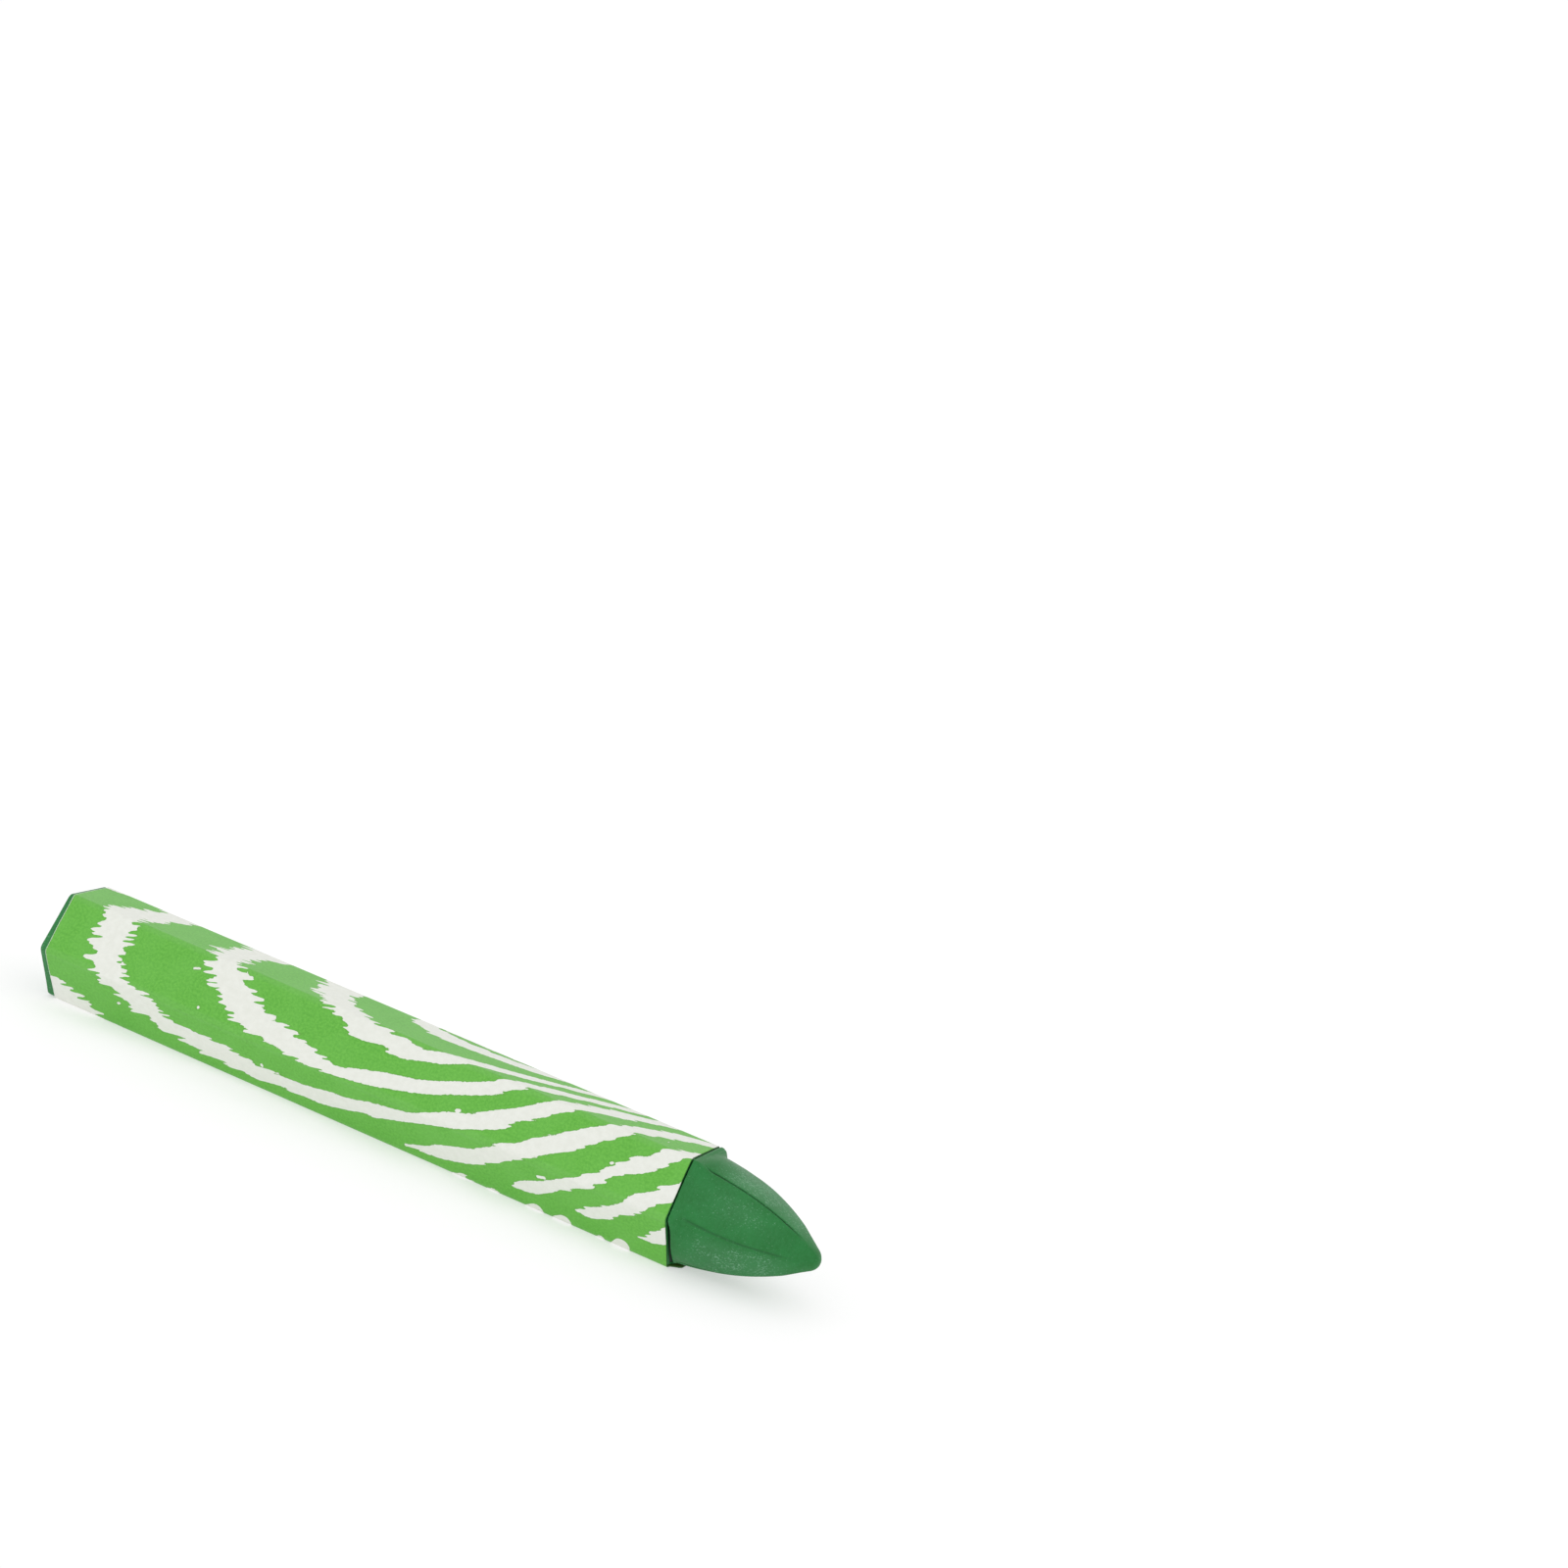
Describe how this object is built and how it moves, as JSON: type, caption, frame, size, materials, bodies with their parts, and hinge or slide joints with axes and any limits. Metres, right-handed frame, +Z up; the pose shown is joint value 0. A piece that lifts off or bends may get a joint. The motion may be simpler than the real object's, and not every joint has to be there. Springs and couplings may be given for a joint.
{
  "type": "marking crayon",
  "caption": "Hexagonal wax marking crayon for timber, with a bullet-shaped tip and a rolled, glued paper label in a green and off-white wood-grain print.",
  "frame": {"origin": "on the resting surface, under the middle of the crayon's length and width", "axes": "+X along the crayon from the butt to the marking tip, +Z up out of the flat it rests on, +Y to the left when looking along +X"},
  "size_m": [0.12, 0.0174, 0.0153],
  "materials": {
    "wax": "dark green pigmented wax, dull satin with a faint pale bloom",
    "label_paper": "uncoated label paper printed mid green over off-white in a wood-grain pattern",
    "paste": "dried label paste, cloudy cream"
  },
  "bodies": {
    "root": {"wax_stick": "wax", "paper_wrapper": "label_paper", "pickup_glue": "paste", "lap_glue": "paste"}
  },
  "joints": []
}
